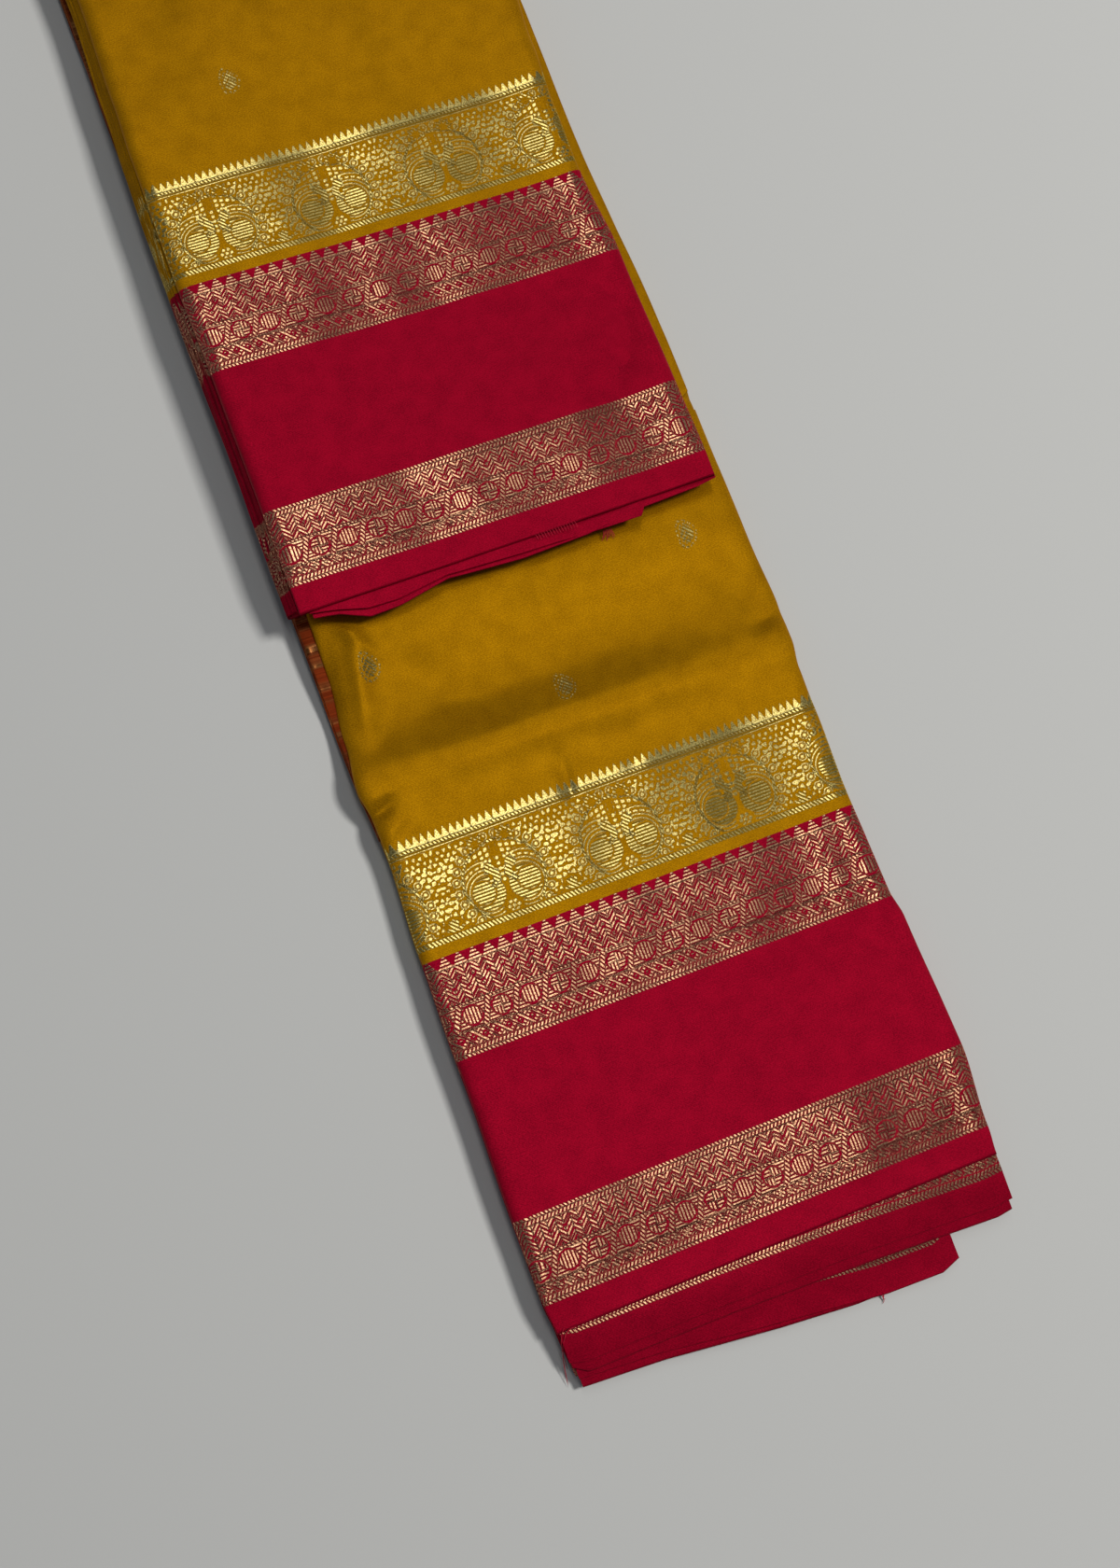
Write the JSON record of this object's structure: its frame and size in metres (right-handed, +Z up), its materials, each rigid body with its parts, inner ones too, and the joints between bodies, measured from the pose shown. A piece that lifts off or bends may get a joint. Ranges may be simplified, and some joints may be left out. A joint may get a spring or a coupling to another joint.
{
  "type": "saree",
  "caption": "Folded mustard silk saree with crimson borders woven in gold and copper zari, laid as a long strip that is turned over once",
  "frame": {"origin": "middle of the footprint, on the surface that the folded cloth lies on", "axes": "+Y along the strip, from the free lower end towards the turn; +X across the strip, to the right as seen from above with the turn at the top; +Z up, away from the surface"},
  "size_m": [0.2054, 0.7804, 0.0288],
  "materials": {
    "mustard_silk": "satin-faced mulberry silk, mustard yellow, with a woven pale gold zari band and small zari figures",
    "crimson_silk": "satin-faced mulberry silk, crimson, with two bands woven in copper zari",
    "rust_silk": "shot silk of the pallu, mustard across crimson, flecked with zari",
    "layered_plies": "folded edges of the hidden silk plies, mustard and crimson with glints of zari"
  },
  "bodies": {
    "root": {"hidden_plies": "layered_plies", "outer_border_under": "crimson_silk", "outer_body_under": "mustard_silk", "outer_body_top": "mustard_silk", "outer_border_top": "crimson_silk", "inner_body": "mustard_silk", "inner_border": "crimson_silk", "lower_second_ply": "crimson_silk", "lower_third_ply": "crimson_silk", "upper_second_ply": "crimson_silk", "upper_third_ply": "crimson_silk", "pallu_edges": "rust_silk"}
  },
  "joints": []
}
